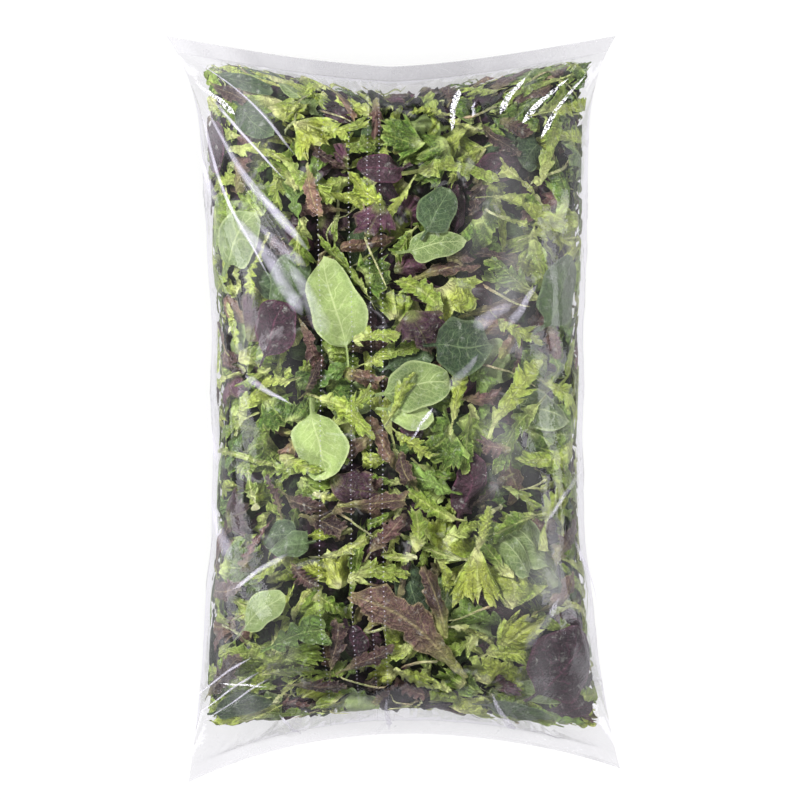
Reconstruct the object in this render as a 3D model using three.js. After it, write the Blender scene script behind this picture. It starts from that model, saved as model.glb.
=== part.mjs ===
// A clear pillow bag of mixed salad leaves, lying on its back with its front face up.
//
// The bag is a tube of film that is welded flat across both ends. Filling it rounds the tube, which
// draws the sides in and pulls the middle of each weld towards the leaves, so the four corners are left
// standing out as flat ears. The bag is sealed and its leaves press on the film from inside, so film and
// leaves are one closed solid, out to the uneven outline of the film.
//
// Frame: millimetres, +X to the right across the bag, +Y towards the top weld and +Z up. The origin lies
// on the surface that the bag rests on, under the middle of the bag's outline.

import * as THREE from "three";
import { mergeVertices } from "three/addons/utils/BufferGeometryUtils.js";

const { lerp, smoothstep } = THREE.MathUtils;

// Side folds, seen from above.
const WAIST_HALF_WIDTH = 138.5; // half the width of the filled middle
const SHOULDER = 4.5; // how much wider the bag is above its waist
const TOP_FLARE = { width: 27, sharpness: 7 }; // how far each top ear stands out past the shoulder
const BOTTOM_FLARE = { width: 24.5, sharpness: 2.2 }; // the same for the bottom ears, past the waist
const LEAN = 5; // how far the top end sits to the left, and the bottom end to the right

// Welds, seen from above. Each bows inwards from its ears to its middle.
const TOP_WELD = { middle: 257, leftEar: 282, rightEar: 282, bow: 1.4 };
const BOTTOM_WELD = { middle: 244, leftEar: 282, rightEar: 271.5, bow: 2.1 };
const WELD_WIDTH = 12; // of the flat welded band
const WELD_THICKNESS = 1.2;

// Heights.
const FOLD_HEIGHT = 46; // of the side folds above the table at the waist
const WELD_HEIGHT = 42; // of the middle of each weld
const EAR_DROOP = 18; // how far the tip of an ear hangs below the middle of its weld
const CROWN = 72; // the front face above the side folds
const BELLY = 60; // the back below the side folds, before the table flattens it

// Cross-sections: the exponent of a superellipse, 2 for an ellipse and more for a squarer one.
const WAIST_SQUARENESS = 2.6;
const END_SQUARENESS = 1.15; // the film closes to a sharp fold beside each ear

// Unevenness of the film over the leaves.
const LUMP_HEIGHT = 2.2;
const PLEAT_HEIGHT = 2.4; // the puckers that fan out from each weld
const PLEATS_ACROSS = 9;
const SIDE_WAVE = 0.8;
const WELD_WAVE = 2.5;

// Facets.
const COLUMNS = 36; // across each face
const ROWS = 52; // from weld to weld

const LONGEST_END = 282;
const WELD_START = 1 - WELD_WIDTH / LONGEST_END; // where the filled part ends, as a share of the half length

/** Half the bag's width at q, from -1 at the bottom weld to 1 at the top weld. */
function halfWidth(q) {
  const flare = q > 0 ? TOP_FLARE : BOTTOM_FLARE;
  const ears = flare.width * Math.abs(q) ** flare.sharpness;
  const wave = Math.sin(9.5 * q + 1) + 0.6 * Math.sin(21 * q);
  return WAIST_HALF_WIDTH + SHOULDER * smoothstep(q, 0.1, 0.5) + ears + SIDE_WAVE * wave * (1 - q * q);
}

/** Distance from the middle of the bag to a weld's edge, at p from -1 at the left ear to 1 at the right. */
function weldReach(weld, p) {
  const ear = p < 0 ? weld.leftEar : weld.rightEar;
  return lerp(weld.middle, ear, Math.abs(p) ** weld.bow);
}

/** How full the bag is at q, from 0 along the welds to 1 over its middle. */
function fullness(q) {
  const inside = Math.min(1, Math.abs(q) / WELD_START);
  return (1 - inside ** 6) ** 0.68;
}

/** Height of the plane in which the front and back sheets meet. */
function foldHeight(p, q) {
  const towardsEnd = smoothstep(Math.abs(q), 0.45, 1);
  const droop = EAR_DROOP * p * p * towardsEnd;
  const wave = WELD_WAVE * Math.sin(7 * p + 2 * q) * towardsEnd * (1 - p * p);
  return lerp(FOLD_HEIGHT, WELD_HEIGHT, towardsEnd) - droop + wave;
}

/** Lumps where leaves press on the film, and the pleats that fan out from the welds. */
function unevenness(p, q, side) {
  const lumps =
    Math.sin(7.1 * p + 3 * q + side) * Math.sin(11.3 * q - 2 * p) +
    0.7 * Math.sin(15.2 * p - 6 * q) * Math.sin(19.7 * q + 4 * p + 2 * side) +
    0.4 * Math.sin(24 * p + 17 * q + side);
  const nearWeld = smoothstep(Math.abs(q), 0.62, 0.86);
  const pleats = Math.cos(Math.PI * PLEATS_ACROSS * p + side) * nearWeld;
  return LUMP_HEIGHT * lumps + PLEAT_HEIGHT * pleats;
}

/** Moves a corner of a cube of side 2, at (a, b, c), to its place on the bag. */
function placeOnBag(point) {
  const q = Math.sin((point.y * Math.PI) / 2); // rows crowd towards the welds
  const side = Math.sign(point.z);
  const squareness = lerp(WAIST_SQUARENESS, END_SQUARENESS, smoothstep(Math.abs(q), 0.5, 0.96));
  const angle = (point.x * Math.PI) / 2;
  const p = Math.sign(angle) * Math.abs(Math.sin(angle)) ** (2 / squareness);
  const rise = Math.abs(Math.cos(angle)) ** (2 / squareness) * fullness(q);

  const depth = side > 0 ? CROWN : BELLY;
  const height = foldHeight(p, q) + side * (WELD_THICKNESS / 2 + rise * (depth + unevenness(p, q, side)));
  const weld = q > 0 ? TOP_WELD : BOTTOM_WELD;
  const lean = LEAN * q * Math.abs(q) ** 1.5;
  return point.set(p * halfWidth(q) - lean, q * weldReach(weld, p), Math.max(0, height));
}

/** Drops the triangles that lost their area when neighbouring corners met. */
function withoutSlivers(geometry) {
  const corners = geometry.index.array;
  const kept = [];
  for (let i = 0; i < corners.length; i += 3) {
    const [a, b, c] = corners.slice(i, i + 3);
    if (a !== b && b !== c && c !== a) kept.push(a, b, c);
  }
  geometry.setIndex(kept);
  return geometry;
}

/** The closed outer shape of the filled bag, centred over the origin. */
function filledBag() {
  const cube = new THREE.BoxGeometry(2, 2, 2, COLUMNS, ROWS, 1);
  cube.deleteAttribute("normal");
  cube.deleteAttribute("uv");
  const corners = cube.getAttribute("position");
  const point = new THREE.Vector3();
  for (let i = 0; i < corners.count; i++) {
    placeOnBag(point.fromBufferAttribute(corners, i));
    corners.setXYZ(i, point.x, point.y, point.z);
  }
  const bag = withoutSlivers(mergeVertices(cube, 1e-3));
  bag.computeBoundingBox();
  const middle = bag.boundingBox.getCenter(new THREE.Vector3());
  bag.translate(-middle.x, -middle.y, -bag.boundingBox.min.z);
  bag.computeVertexNormals();
  return bag;
}

const leavesUnderFilm = new THREE.MeshStandardMaterial({
  name: "leaves_under_film",
  color: 0x6f8f45,
  roughness: 0.35,
  metalness: 0,
});

const bag = new THREE.Mesh(filledBag(), leavesUnderFilm);
bag.name = "salad_bag";

const part = new THREE.Group();
part.add(bag);

export default part;
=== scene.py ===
"""A clear pillow bag of mixed salad leaves, lying on its back with its front face up.

The film is a tube, welded flat across both ends. Places on it are given in millimetres of film: s
round the tube, from the middle of the front, and t along it, from the middle of the bag. Every leaf is
a flat sheet of its own outline, which is pressed against the film from inside and pushed deeper by the
leaves that already lie there, so the heap fills from the film inwards and leaves lie in layers.
"""

import math

import bmesh
import bpy
import numpy as np
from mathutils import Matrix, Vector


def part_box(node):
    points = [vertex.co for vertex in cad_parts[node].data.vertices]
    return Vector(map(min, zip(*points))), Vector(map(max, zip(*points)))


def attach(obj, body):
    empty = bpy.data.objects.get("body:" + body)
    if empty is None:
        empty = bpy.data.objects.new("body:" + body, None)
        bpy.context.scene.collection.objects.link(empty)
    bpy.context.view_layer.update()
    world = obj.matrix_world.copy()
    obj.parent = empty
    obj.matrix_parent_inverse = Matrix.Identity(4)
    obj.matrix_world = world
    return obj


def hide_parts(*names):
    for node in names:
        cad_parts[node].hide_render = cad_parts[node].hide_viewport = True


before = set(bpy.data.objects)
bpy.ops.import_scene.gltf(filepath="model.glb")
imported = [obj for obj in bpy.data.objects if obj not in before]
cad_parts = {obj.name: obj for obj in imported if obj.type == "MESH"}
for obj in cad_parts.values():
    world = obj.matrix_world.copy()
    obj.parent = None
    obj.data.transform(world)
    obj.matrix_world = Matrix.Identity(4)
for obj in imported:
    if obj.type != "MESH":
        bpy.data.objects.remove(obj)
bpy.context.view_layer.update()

BAG_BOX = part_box("salad_bag")
MM = 0.001

# The filled bag, in millimetres: the same shape as the solid that it replaces.
WAIST_HALF_WIDTH = 138.5
SHOULDER = 4.5  # how much wider the bag is above its waist
TOP_FLARE = (27, 7)  # how far each top ear stands out past the shoulder, and how late
BOTTOM_FLARE = (24.5, 2.2)
LEAN = 5
TOP_WELD = (257, 282, 282, 1.4)  # reach at the middle, at the left ear, at the right ear, and bow
BOTTOM_WELD = (244, 282, 271.5, 2.1)
WELD_WIDTH = 12
FILM_GAP = 0.5  # between the two sheets of a weld
FOLD_HEIGHT = 46
WELD_HEIGHT = 42
EAR_DROOP = 18
CROWN = 72
BELLY = 60
WAIST_SQUARENESS = 2.6
END_SQUARENESS = 1.15
LUMP_HEIGHT = 2.2
PLEAT_HEIGHT = 2.4
PLEATS_ACROSS = 9
SIDE_WAVE = 0.8
WELD_WAVE = 2.5
WELD_START = 1 - WELD_WIDTH / 282

# The heap of leaves, in millimetres.
CELL = 2.0  # of the map that keeps track of its depth
FILM_CLEARANCE = 1.0
FOLD_CLEARANCE = 0.4  # more beside the side folds, where the film stands off the leaves
LEAF_GAP = 1.2
DEEPEST = 38
SPINE_INSET = 48  # how far inside the side folds the middle of the heap lies
SIDE_HUG = 0.85  # how closely the leaves follow the film beside the side folds
MOST_OVER_LIMIT = 0.12  # share of a leaf that may be squashed where the heap is full
HEAP_TOP = 0.958  # where the leaves stop, as a share of the way from the bag's middle to each weld
HEAP_BOTTOM = 0.958
HEAP_BOTTOM_SIDES = (0.12, 0.06)  # how much sooner they stop beside the left and right bottom ears
UNEVEN_ENDS = 0.024
EMPTY_EARS = (0.25, 0.9)  # share of an ear's flare without leaves: most ears, and the top left one
EAR_START = 6  # how much wider than its waist the bag is where an ear starts to empty
CROWDING = 8  # how far before the limit leaves start to crowd together
ROOM_SHARE = 0.85  # how much of the way in to the bag's spine leaves may fill
CORE_SIDE_DEPTH = 8  # how deep the heap's dark middle starts beside the folds

# The camera and the room, in metres and in brightness.
CAMERA_HEIGHT = 3.0
VIEW_WIDTH = 0.600
VIEW_MIDDLE = (0.00525, 0.00675)
CEILING = 0.05
WALLS = 0.65


def lerp(low, high, share):
    return low + (high - low) * share


def smoothstep(value, low, high):
    share = np.clip((value - low) / (high - low), 0, 1)
    return share * share * (3 - 2 * share)


# ---------------------------------------------------------------- the shape of the filled bag

def half_width(q):
    flare, sharpness = TOP_FLARE
    low_flare, low_sharpness = BOTTOM_FLARE
    out = np.where(q > 0, flare * abs(q) ** sharpness, low_flare * abs(q) ** low_sharpness)
    wave = np.sin(9.5 * q + 1) + 0.6 * np.sin(21 * q)
    shoulder = SHOULDER * smoothstep(q, 0.1, 0.5)
    return WAIST_HALF_WIDTH + shoulder + out + SIDE_WAVE * wave * (1 - q * q)


def weld_reach(weld, p):
    middle, left_ear, right_ear, bow = weld
    return lerp(middle, np.where(p < 0, left_ear, right_ear), abs(p) ** bow)


def fullness(q):
    inside = np.minimum(1, abs(q) / WELD_START)
    return (1 - inside ** 6) ** 0.68


def fold_height(p, q):
    towards_end = smoothstep(abs(q), 0.45, 1)
    droop = EAR_DROOP * p * p * towards_end
    wave = WELD_WAVE * np.sin(7 * p + 2 * q) * towards_end * (1 - p * p)
    return lerp(FOLD_HEIGHT, WELD_HEIGHT, towards_end) - droop + wave


def unevenness(p, q, side):
    lumps = np.sin(7.1 * p + 3 * q + side) * np.sin(11.3 * q - 2 * p)
    lumps = lumps + 0.7 * np.sin(15.2 * p - 6 * q) * np.sin(19.7 * q + 4 * p + 2 * side)
    lumps = lumps + 0.4 * np.sin(24 * p + 17 * q + side)
    pleats = np.cos(np.pi * PLEATS_ACROSS * p + side) * smoothstep(abs(q), 0.62, 0.86)
    return LUMP_HEIGHT * lumps + PLEAT_HEIGHT * pleats


def bag_surface(turn, q):
    """Points on the film, at an angle round the tube and at q, from -1 at the bottom weld to 1."""
    side = np.where(abs(turn) <= math.pi / 2, 1, -1)
    square = lerp(WAIST_SQUARENESS, END_SQUARENESS, smoothstep(abs(q), 0.5, 0.96))
    p = np.sign(turn) * abs(np.sin(turn)) ** (2 / square)
    swell = abs(np.cos(turn)) ** (2 / square)
    depth = np.where(side > 0, CROWN, BELLY) + unevenness(p, q, side)
    rise = FILM_GAP / 2 * np.minimum(1, 6 * swell) + swell * fullness(q) * depth
    height = np.maximum(0, fold_height(p, q) + side * rise)
    reach = np.where(q > 0, weld_reach(TOP_WELD, p), weld_reach(BOTTOM_WELD, p))
    lean = LEAN * q * abs(q) ** 1.5
    return np.stack([p * half_width(q) - lean, q * reach, height], -1)


def arc_lengths(points):
    steps = np.linalg.norm(np.diff(points, axis=0), axis=1)
    return np.concatenate([[0], np.cumsum(steps)])


def outward_normals(points):
    """Normals of a grid of points whose rows run up the bag and whose columns run to the right."""
    across = np.gradient(points, axis=1)
    along = np.gradient(points, axis=0)
    normals = np.cross(across, along)
    return normals / np.maximum(np.linalg.norm(normals, axis=-1, keepdims=True), 1e-9)


class Tube:
    """The film as a map from (s, t), both in millimetres of film, to places in the bag."""

    def __init__(self):
        q = np.linspace(-1, 1, 1601)
        run = arc_lengths(bag_surface(np.zeros_like(q), q))
        self.bottom = -np.interp(0, q, run)
        self.top = self.bottom + run[-1]
        self.q_steps = q
        self.t_steps = run + self.bottom
        self.quarter_turns = np.linspace(0, math.pi / 2, 361)
        self.girth = 4 * arc_lengths(bag_surface(self.quarter_turns, 0 * self.quarter_turns))[-1]
        self.rows = int((self.top - self.bottom) / CELL) + 1
        self.columns = int(self.girth / CELL)
        s = np.linspace(-self.girth / 2, self.girth / 2, self.columns + 1)
        t = np.linspace(self.bottom, self.top, self.rows)
        raw = self.exact(s, t)
        low = raw.min((0, 1))
        high = raw.max((0, 1))
        self.offset = np.array([
            (BAG_BOX[0][0] + BAG_BOX[1][0]) / 2 / MM - (low[0] + high[0]) / 2,
            (BAG_BOX[0][1] + BAG_BOX[1][1]) / 2 / MM - (low[1] + high[1]) / 2,
            BAG_BOX[0][2] / MM - low[2],
        ])
        self.points = raw + self.offset
        spine = self.points * np.array([1 - SPINE_INSET / WAIST_HALF_WIDTH, 0.96, 0])
        spine[..., 2] = FOLD_HEIGHT
        inward = spine - self.points
        self.room = np.linalg.norm(inward, axis=-1)
        self.inward = inward / self.room[..., None]

    def exact(self, s, t):
        """The film's points at every s and t, before they are moved to the frame."""
        shares = s / (self.girth / 4)  # 0 at the middle of the front, 1 and -1 at the side folds
        rows = []
        for q in np.interp(t, self.t_steps, self.q_steps):
            turns = np.empty_like(shares)
            for quarter in range(-2, 2):
                here = (shares >= quarter) & (shares <= quarter + 1)
                steps = quarter * math.pi / 2 + self.quarter_turns
                run = arc_lengths(bag_surface(steps, np.full_like(steps, q)))
                turns[here] = np.interp(shares[here] - quarter, run / run[-1], steps)
            rows.append(bag_surface(turns, np.full_like(turns, q)))
        return np.array(rows)

    def cells(self, s, t):
        """The row and the column of a table that (s, t) falls on."""
        column = (s / self.girth + 0.5) % 1 * self.columns
        row = np.clip((t - self.bottom) / (self.top - self.bottom), 0, 1) * (self.rows - 1)
        return row, column

    def read(self, table, s, t):
        """A table's value at (s, t), with the cells blended."""
        row, column = self.cells(s, t)
        i = np.minimum(row.astype(int), self.rows - 2)
        j = column.astype(int) % self.columns
        a = row - i
        b = column - np.floor(column)
        if table.ndim == 3:
            a = a[..., None]
            b = b[..., None]
        low = table[i, j] * (1 - b) + table[i, j + 1] * b
        high = table[i + 1, j] * (1 - b) + table[i + 1, j + 1] * b
        return low * (1 - a) + high * a

    def place(self, s, t, depth):
        """Points that lie depth below the film, towards the middle of the bag."""
        return self.read(self.points, s, t) + self.read(self.inward, s, t) * depth[..., None]

    def find(self, x, y):
        """The place on the front that is seen at (x, y) from above."""
        front = slice(self.columns // 4, self.columns * 3 // 4)
        off = self.points[:, front, :2] - np.array([x, y])
        row, column = np.unravel_index(np.argmin((off ** 2).sum(-1)), off.shape[:2])
        s = ((column + self.columns // 4) / self.columns - 0.5) * self.girth
        return s, lerp(self.bottom, self.top, row / (self.rows - 1))


tube = Tube()


# ---------------------------------------------------------------- helpers for meshes

def in_scene(thing):
    bpy.context.scene.collection.objects.link(thing)
    return thing


def add_piece(mesh, material):
    """An object for a finished mesh, told to the frame."""
    mesh.materials.append(material)
    piece = in_scene(bpy.data.objects.new(mesh.name, mesh))
    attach(piece, "root")
    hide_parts("salad_bag")


def mesh_from(bm, name):
    """A mesh of a bmesh, which is let go."""
    mesh = bpy.data.meshes.new(name)
    bm.to_mesh(mesh)
    bm.free()
    return mesh


def flat_sheet(columns, rows):
    """A square grid of faces with its own UV map; rows run up the sheet."""
    bm = bmesh.new()
    bm.loops.layers.uv.new("sheet")
    bmesh.ops.create_grid(bm, x_segments=columns, y_segments=rows, size=1, calc_uvs=True)
    for face in bm.faces:
        face.smooth = True
    return mesh_from(bm, "sheet")


def shaped(mesh, points):
    """Moves a mesh's corners to the given places, in millimetres."""
    mesh.vertices.foreach_set("co", (points * MM).astype(np.float32).ravel())
    mesh.update()
    return mesh


def marked(mesh, name, values):
    """Gives each corner of a mesh a number, which its material reads."""
    attribute = mesh.attributes.new(name, "FLOAT", "POINT")
    attribute.data.foreach_set("value", values.astype(np.float32).ravel())
    return mesh


def scattered(sheet, name, places, mark, marks):
    """One mesh of many copies of a sheet, each with its own place and its own marks."""
    bm = bmesh.new()
    for _ in places:
        bm.from_mesh(sheet)
    bpy.data.meshes.remove(sheet)
    mesh = shaped(mesh_from(bm, name), np.concatenate(places))
    return marked(mesh, mark, np.concatenate(marks))


# ---------------------------------------------------------------- the heap of leaves

def sideways(s):
    """1 at the side folds and 0 in the middle of the front and the back."""
    turn = (s / tube.girth + 0.5) % 1 - 0.5
    return np.maximum(0, 1 - abs(4 * abs(turn) - 1))


def on_left(s):
    return np.sin(2 * np.pi * s / tube.girth) < 0


def film_standoff(s, t):
    """How far the film stands off the outermost leaves: furthest in the ears, which hold few."""
    beside_fold = sideways(s)
    ripple = np.sin(s / 23 + t / 31) * np.sin(t / 19 - s / 37)
    q = np.interp(t, tube.t_steps, tube.q_steps)
    flare = np.maximum(0, half_width(q) - WAIST_HALF_WIDTH - EAR_START)
    most, top_left = EMPTY_EARS
    empty = most + (top_left - most) * (on_left(s) & (t > 0))
    empty = empty * flare * smoothstep(beside_fold, 0.84, 0.97)
    beside = FOLD_CLEARANCE * smoothstep(beside_fold, 0.72, 1.0)
    return FILM_CLEARANCE + beside + empty + 0.5 + 0.5 * ripple


def heap_limits(s):
    """The lowest and highest t that leaves may reach."""
    uneven = 0.5 + 0.3 * np.sin(s / 6.1 + 2 * np.sin(s / 17)) + 0.2 * np.sin(s / 2.3)
    sooner = np.where(on_left(s), *HEAP_BOTTOM_SIDES) * sideways(s) ** 3
    low_q = sooner + UNEVEN_ENDS * uneven - HEAP_BOTTOM
    high_q = HEAP_TOP - UNEVEN_ENDS * (1 - uneven) - 0.02 * sideways(s) ** 8
    return [np.interp(q, tube.q_steps, tube.t_steps) for q in (low_q, high_q)]


def crowded(s, t):
    """Keeps t inside the heap, with what would stick out crowded against the limit."""
    low, high = heap_limits(s)
    over = np.maximum(0, t - (high - CROWDING))
    under = np.maximum(0, (low + CROWDING) - t)
    squashed_over = CROWDING * (1 - np.exp(-over / CROWDING))
    squashed_under = CROWDING * (1 - np.exp(-under / CROWDING))
    return t - over + squashed_over + under - squashed_under


def softened(depth):
    """A sheet's depths, each blended with its neighbours'."""
    padded = np.pad(depth, 1, mode="edge")
    around = padded[:-2, 1:-1] + padded[2:, 1:-1] + padded[1:-1, :-2] + padded[1:-1, 2:]
    return 0.6 * depth + 0.1 * around


def refined(values, times=3):
    """A sheet's values on a finer grid."""
    rows = np.linspace(0, values.shape[0] - 1, (values.shape[0] - 1) * times + 1)
    columns = np.linspace(0, values.shape[1] - 1, (values.shape[1] - 1) * times + 1)
    i = np.minimum(rows.astype(int), values.shape[0] - 2)
    j = np.minimum(columns.astype(int), values.shape[1] - 2)
    a = (rows - i)[:, None]
    b = (columns - j)[None, :]
    low = values[i][:, j] * (1 - b) + values[i][:, j + 1] * b
    high = values[i + 1][:, j] * (1 - b) + values[i + 1][:, j + 1] * b
    return low * (1 - a) + high * a


class Heap:
    """How deep the leaves reach below the film so far."""

    def __init__(self):
        s = np.linspace(-tube.girth / 2, tube.girth / 2, tube.columns + 1)
        t = np.linspace(tube.bottom, tube.top, tube.rows)
        s_grid, t_grid = np.meshgrid(s, t)
        self.depth = film_standoff(s_grid, t_grid)
        self.limit = np.minimum(DEEPEST, ROOM_SHARE * tube.room)

    def press(self, s, t, curl, ruffle, layer):
        """Lays a sheet against what is there, curled and ruffled inwards by the given amounts.

        Gives the depth of each corner, or nothing where the heap is already full.
        """
        under = tube.read(self.depth, s, t) + LEAF_GAP
        level = np.percentile(under, 30) + layer
        close = SIDE_HUG * smoothstep(sideways(s), 0.62, 0.85)
        depth = np.maximum(lerp(level + curl, under, close), under)
        for _ in range(2):
            depth = np.maximum(softened(depth), under)
        depth = depth + ruffle * (1 - close)
        limit = tube.read(self.limit, s, t)
        if np.mean(depth > limit) > MOST_OVER_LIMIT:
            return None
        depth = np.minimum(depth, limit)
        row, column = tube.cells(refined(s), refined(t))
        fine = refined(depth)
        row = np.round(row).astype(int)
        column = np.round(column).astype(int)
        for i in (-1, 0, 1):
            for j in (-1, 0, 1):
                cell = (np.clip(row + i, 0, tube.rows - 1), (column + j) % tube.columns)
                np.maximum.at(self.depth, cell, fine)
        self.depth[:, -1] = self.depth[:, 0]
        return depth


heap = Heap()
clearance = heap.depth.copy()


# ---------------------------------------------------------------- outlines of the leaves
# Each takes u from -1 at a leaf's left edge to 1 at its right and v from 0 at its base to 1 at its
# tip, and gives x and y in the leaf's own plane, how it curls and how it ruffles, in millimetres.

def bent(x, y, length, rng, most=0.25):
    """The leaf with its midrib bent sideways and its blade pulled out of true."""
    bend = rng.uniform(-most, most)
    share = y / length
    pull = 0.025 * length
    arc = bend * length * share * share * 0.5
    across = arc + pull * np.sin(share * rng.uniform(5, 8) + rng.uniform(0, 6))
    along = pull * np.sin(x / length * rng.uniform(10, 16) + rng.uniform(0, 6))
    return x + across, y + along


def chopped(v, rng):
    """The part of a leaf that is left between two cuts."""
    return lerp(rng.choice([0, 0, 0, 0.25]), rng.choice([0.8, 1, 1, 1]), v)


def cupped(u, v, width, length, rng, strength=1.0):
    """How a leaf curls, twists and tilts as it lies in the heap."""
    tilt_across = rng.uniform(-0.12, 0.12) * width * strength
    tilt_along = rng.uniform(-0.10, 0.10) * length * strength
    cup = rng.uniform(-0.08, 0.14) * width * strength
    roll = rng.uniform(-0.05, 0.08) * length * strength
    twist = rng.uniform(-0.14, 0.14) * width * strength
    along = 2 * v - 1
    tilt = tilt_across * u + tilt_along * along
    return tilt + cup * u * u + roll * along ** 2 + twist * u * along


def folded(x, curl, rng, most=60, one_sided=False):
    """The leaf folded along its midrib, which makes it look narrower."""
    angle = math.radians(rng.uniform(0, most))
    side = rng.choice([-1, 1])
    moved = np.where(x * side > 0, 1, 0) if one_sided else 1
    return x * (1 - moved * (1 - math.cos(angle))), curl + moved * abs(x) * math.sin(angle)


def crumpled(x, y, rng, height, across):
    """Sharp little ridges and hollows, height deep and about across wide."""
    total = np.zeros_like(x)
    for _ in range(4):
        way = rng.uniform(0, 2 * math.pi)
        along = x * math.cos(way) + y * math.sin(way)
        aside = y * math.cos(way) - x * math.sin(way)
        beat = np.pi / (across * rng.uniform(0.7, 1.7))
        total += abs(np.sin(along * beat + 1.2 * np.sin(aside * beat * 0.6) + rng.uniform(0, 6)))
    return height * (total / 4 - 0.6) * 2


def ovate(u, v, length, width, rng, stalk=0.24, stalk_width=2.6):
    """A spinach leaf: a rounded blade on a short stalk."""
    blade = np.clip((v - stalk) / (1 - stalk), 0, 1)
    widest = rng.uniform(0.36, 0.46)
    share = np.where(blade < widest, 1 - blade / widest, (blade - widest) / (1 - widest))
    broad = (1 - share ** 2.1) ** 0.62
    half = stalk_width / 2 * (1 - 0.6 * blade) + (width / 2 - stalk_width / 2) * broad
    wave = 1 + 0.05 * np.sin(17 * v + 2 * np.sign(u) + rng.uniform(0, 6)) * abs(u)
    x = u * half * wave
    stalk_length = 0.28 * length
    y = np.where(v < stalk, v / stalk * stalk_length, stalk_length + blade * length) - stalk_length
    y = y - 0.12 * width * abs(u) ** 1.5 * (blade > 0) * (1 - blade) ** 2 * broad
    x, y = bent(x, y, length, rng, 0.2)
    curl = cupped(u, v, width, length, rng)
    rib = -0.8 * np.exp(-(u * 6) ** 2) * broad
    ruffle = crumpled(x, y, rng, 0.9, 12) * broad + rib
    ruffle = ruffle + rng.uniform(0.3, 1.4) * np.sin(v * 15 + 2 * np.sign(u)) * abs(u) ** 3 * broad
    x, curl = folded(x, curl, rng, 25)
    return x, y - length / 2, curl, ruffle


def toothed(u, v, length, width, rng, fewest=4, most=7, deepest=0.08, most_bend=0.8, frill=1.0,
           rounded=0.25):
    """A mizuna leaf: a thin blade cut nearly to its rib into forward-pointing, toothed lobes."""
    v = chopped(v, rng)
    body = np.clip((v - 0.18) / 0.82, 0, 1)
    run = np.clip(0.06 + 0.94 * body, 0, 1) ** rng.uniform(0.8, 1.25)
    broad = np.sin(np.pi * run) ** 0.7 * (body > 0)
    lobes = rng.integers(fewest, most)
    cut = np.ones_like(v)
    for side in (-1, 1):
        beat = body * lobes + 0.3 * np.sin(body * 9 + rng.uniform(0, 6)) + rng.uniform(0, 1)
        size = 0.62 + 0.38 * np.sin(np.floor(beat) * 2.3 + rng.uniform(0, 6))
        lobe = lerp((beat % 1) ** 0.7, abs(np.sin(np.pi * beat)) ** 0.6, rounded)
        tooth = (beat * rng.uniform(3.2, 4.4)) % 1
        shape = deepest + (1 - deepest) * size * lobe * (0.62 + 0.38 * tooth)
        cut = np.where(np.sign(u) == side, shape, cut)
    half = 1.0 + (width / 2 - 1) * broad * cut
    x = u * half
    y = v * length + 0.5 * abs(x)
    x, y = bent(x, y, length, rng, most_bend)
    waves = np.sin(v * rng.uniform(18, 32) * frill + 2 * np.sign(u))
    ruffle = rng.uniform(1.0, 2.4) * frill ** 0.5 * waves * abs(u) * broad
    ruffle = ruffle + crumpled(x, y, rng, 1.5, 8) * abs(u)
    x, curl = folded(x, cupped(u, v, width, length, rng, 1.3), rng, 50)
    return x, y - length / 2, curl, ruffle


def curly(u, v, length, width, rng):
    """A strip of curly lettuce: a bent rib with a gathered, finely toothed frill on both sides."""
    return toothed(u, v, length, width, rng, fewest=6, most=10, deepest=0.34, most_bend=1.3,
                   frill=2.0, rounded=0.8)


def frilly(u, v, length, width, rng):
    """A piece of frilly lettuce: a fan whose outer edge is cut and gathered into ruffles."""
    spread = width / length * rng.uniform(0.7, 1.0)
    v = lerp(rng.choice([0, 0, 0.15, 0.3]), 1, v)
    lopsided = rng.uniform(-0.35, 0.35)
    angle = (u + lopsided * v) * spread
    first = rng.uniform(0, 6)
    second = rng.uniform(0, 6)
    lobes = 0.14 * np.sin(u * rng.uniform(3, 5) + first)
    lobes = lobes + 0.10 * np.sin(u * rng.uniform(8, 12) + second)
    saw = (u * rng.uniform(6, 9) + first) % 1
    teeth = (0.15 * saw + 0.07 * np.sin(u * 53 + second)) * smoothstep(v, 0.5, 1)
    reach = length * v * (1 + lobes * smoothstep(v, 0.2, 1) + teeth) * (1 - 0.16 * u * u)
    sway = 0.10 * length * np.sin(3 * v + second)
    x = np.sin(angle) * reach + 2.0 * u * (1 - v) + sway
    y = np.cos(angle) * reach
    waves = rng.uniform(12, 19)
    gather = v ** 2.6
    x = x + 1.6 * np.cos(u * waves + first) * gather
    y = y + 1.3 * np.sin(u * waves * 1.7 + second) * gather
    ruffle = (np.sin(u * waves + first) + 0.5 * np.sin(u * waves * 2.3 + second)) * gather
    ruffle = rng.uniform(1.8, 3.2) * ruffle
    ruffle = ruffle + crumpled(x, y, rng, 1.8, 8) * smoothstep(v, 0.1, 0.5)
    x, curl = folded(x, cupped(u, v, width, length, rng, 1.2), rng, 50, one_sided=True)
    return x, y - length / 2, curl, ruffle


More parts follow.
